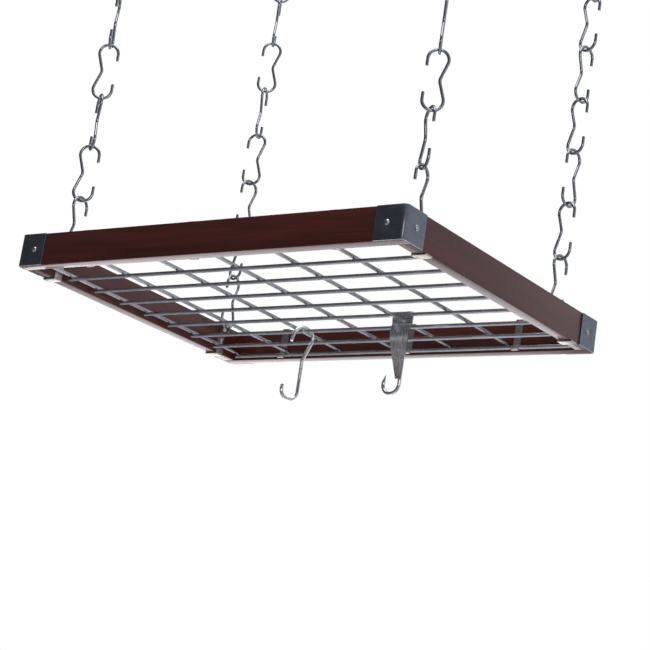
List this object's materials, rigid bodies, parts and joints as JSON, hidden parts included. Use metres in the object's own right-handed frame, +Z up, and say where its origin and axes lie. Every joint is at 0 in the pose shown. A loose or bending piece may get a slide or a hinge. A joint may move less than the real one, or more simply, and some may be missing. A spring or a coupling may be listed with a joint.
{
  "type": "hanging pot rack",
  "caption": "Rectangular wooden pot rack with a welded wire grid, hung level from the ceiling on chains of open wire links, with pot hooks on the grid.",
  "frame": {"origin": "on the ceiling, at the middle of the four ceiling hooks' shanks", "axes": "+Z up along the shanks, +X along the long rails, the rack hangs at -Z"},
  "size_m": [0.6224, 0.4744, 0.7404],
  "materials": {
    "cherry_wood": "dark red-brown stain under gloss lacquer",
    "dowel_wood": "plain beech, unseen in the joints",
    "bracket_steel": "dark nickel, satin",
    "screw_steel": "bright plated",
    "grid_wire": "plated welded wire",
    "clip_steel": "plated strip, satin",
    "hanger_steel": "plated strip, satin",
    "hook_steel": "plated wire",
    "link_steel": "dark bright plating",
    "pot_hook_chrome": "mirror bright",
    "pot_hook_steel": "polished"
  },
  "bodies": {
    "ceiling_hooks": {"ceiling_hook_1": "hook_steel", "ceiling_hook_2": "hook_steel", "ceiling_hook_3": "hook_steel", "ceiling_hook_4": "hook_steel"},
    "chain_1_top": {"chain_1_link_1": "link_steel"},
    "chain_1_run": {"chain_1_link_2": "link_steel", "chain_1_link_3": "link_steel", "chain_1_link_4": "link_steel", "chain_1_link_5": "link_steel", "chain_1_link_6": "link_steel"},
    "chain_1_end": {"chain_1_link_7": "link_steel"},
    "chain_2_top": {"chain_2_link_1": "link_steel"},
    "chain_2_run": {"chain_2_link_2": "link_steel", "chain_2_link_3": "link_steel", "chain_2_link_4": "link_steel", "chain_2_link_5": "link_steel", "chain_2_link_6": "link_steel"},
    "chain_2_end": {"chain_2_link_7": "link_steel"},
    "chain_3_top": {"chain_3_link_1": "link_steel"},
    "chain_3_run": {"chain_3_link_2": "link_steel", "chain_3_link_3": "link_steel", "chain_3_link_4": "link_steel", "chain_3_link_5": "link_steel", "chain_3_link_6": "link_steel"},
    "chain_3_end": {"chain_3_link_7": "link_steel"},
    "chain_4_top": {"chain_4_link_1": "link_steel"},
    "chain_4_run": {"chain_4_link_2": "link_steel", "chain_4_link_3": "link_steel", "chain_4_link_4": "link_steel", "chain_4_link_5": "link_steel", "chain_4_link_6": "link_steel"},
    "chain_4_end": {"chain_4_link_7": "link_steel"},
    "rack": {"rail_front": "cherry_wood", "rail_back": "cherry_wood", "rail_left": "cherry_wood", "rail_right": "cherry_wood", "bracket_front_left": "bracket_steel", "bracket_front_right": "bracket_steel", "bracket_back_right": "bracket_steel", "bracket_back_left": "bracket_steel", "bracket_screws": "screw_steel", "corner_dowels": "dowel_wood", "grid_long_wires": "grid_wire", "grid_cross_wires": "grid_wire", "grid_clip_front_1": "clip_steel", "grid_clip_front_2": "clip_steel", "grid_clip_front_3": "clip_steel", "grid_clip_back_1": "clip_steel", "grid_clip_back_2": "clip_steel", "grid_clip_back_3": "clip_steel", "clip_screws": "screw_steel", "hanger_1": "hanger_steel", "hanger_2": "hanger_steel", "hanger_3": "hanger_steel", "hanger_4": "hanger_steel", "hanger_screws": "screw_steel"},
    "wire_pot_hook": {"wire_pot_hook": "pot_hook_chrome"},
    "tapered_pot_hook": {"tapered_hook_blade": "pot_hook_steel", "tapered_hook_rod": "pot_hook_steel"}
  },
  "joints": [
    {"name": "chain_1_swing", "type": "hinge", "parent": "ceiling_hooks", "child": "chain_1_top", "pos_m": [-0.2774, -0.171, -0.042], "axis": [1, 0, 0], "range_deg": [-12, 12]},
    {"name": "chain_1_sway", "type": "hinge", "parent": "chain_1_top", "child": "chain_1_run", "pos_m": [-0.2774, -0.171, -0.1167], "axis": [0, 1, 0], "range_deg": [-12, 12]},
    {"name": "chain_1_level", "type": "hinge", "parent": "chain_1_run", "child": "chain_1_end", "pos_m": [-0.2774, -0.171, -0.4872], "axis": [0, 1, 0], "range_deg": [-12, 12]},
    {"name": "chain_2_swing", "type": "hinge", "parent": "ceiling_hooks", "child": "chain_2_top", "pos_m": [0.2774, -0.171, -0.042], "axis": [1, 0, 0], "range_deg": [-12, 12]},
    {"name": "chain_2_sway", "type": "hinge", "parent": "chain_2_top", "child": "chain_2_run", "pos_m": [0.2774, -0.171, -0.1167], "axis": [0, 1, 0], "range_deg": [-12, 12]},
    {"name": "chain_2_level", "type": "hinge", "parent": "chain_2_run", "child": "chain_2_end", "pos_m": [0.2774, -0.171, -0.4872], "axis": [0, 1, 0], "range_deg": [-12, 12]},
    {"name": "chain_3_swing", "type": "hinge", "parent": "ceiling_hooks", "child": "chain_3_top", "pos_m": [0.2774, 0.171, -0.042], "axis": [1, 0, 0], "range_deg": [-12, 12]},
    {"name": "chain_3_sway", "type": "hinge", "parent": "chain_3_top", "child": "chain_3_run", "pos_m": [0.2774, 0.171, -0.1167], "axis": [0, 1, 0], "range_deg": [-12, 12]},
    {"name": "chain_3_level", "type": "hinge", "parent": "chain_3_run", "child": "chain_3_end", "pos_m": [0.2774, 0.171, -0.4872], "axis": [0, 1, 0], "range_deg": [-12, 12]},
    {"name": "chain_4_swing", "type": "hinge", "parent": "ceiling_hooks", "child": "chain_4_top", "pos_m": [-0.2774, 0.171, -0.042], "axis": [1, 0, 0], "range_deg": [-12, 12]},
    {"name": "chain_4_sway", "type": "hinge", "parent": "chain_4_top", "child": "chain_4_run", "pos_m": [-0.2774, 0.171, -0.1167], "axis": [0, 1, 0], "range_deg": [-12, 12]},
    {"name": "chain_4_level", "type": "hinge", "parent": "chain_4_run", "child": "chain_4_end", "pos_m": [-0.2774, 0.171, -0.4872], "axis": [0, 1, 0], "range_deg": [-12, 12]},
    {"name": "rack_level", "type": "hinge", "parent": "chain_1_end", "child": "rack", "pos_m": [-0.2774, -0.171, -0.5537], "axis": [1, 0, 0], "range_deg": [-12, 12]},
    {"name": "wire_pot_hook_swing", "type": "hinge", "parent": "rack", "child": "wire_pot_hook", "pos_m": [-0.08, 0.10565, -0.5994], "axis": [1, 0, 0], "range_deg": [-22, 22]},
    {"name": "tapered_pot_hook_swing", "type": "hinge", "parent": "rack", "child": "tapered_pot_hook", "pos_m": [0.118, 0.05282, -0.5994], "axis": [1, 0, 0], "range_deg": [-22, 22]}
  ],
  "couplings": [
    {"joint": "chain_1_level", "follows": "chain_1_sway", "ratio": -1},
    {"joint": "chain_2_swing", "follows": "chain_1_swing", "ratio": 1},
    {"joint": "chain_2_sway", "follows": "chain_1_sway", "ratio": 1},
    {"joint": "chain_2_level", "follows": "chain_1_sway", "ratio": -1},
    {"joint": "chain_3_swing", "follows": "chain_1_swing", "ratio": 1},
    {"joint": "chain_3_sway", "follows": "chain_1_sway", "ratio": 1},
    {"joint": "chain_3_level", "follows": "chain_1_sway", "ratio": -1},
    {"joint": "chain_4_swing", "follows": "chain_1_swing", "ratio": 1},
    {"joint": "chain_4_sway", "follows": "chain_1_sway", "ratio": 1},
    {"joint": "chain_4_level", "follows": "chain_1_sway", "ratio": -1},
    {"joint": "rack_level", "follows": "chain_1_swing", "ratio": -1}
  ]
}
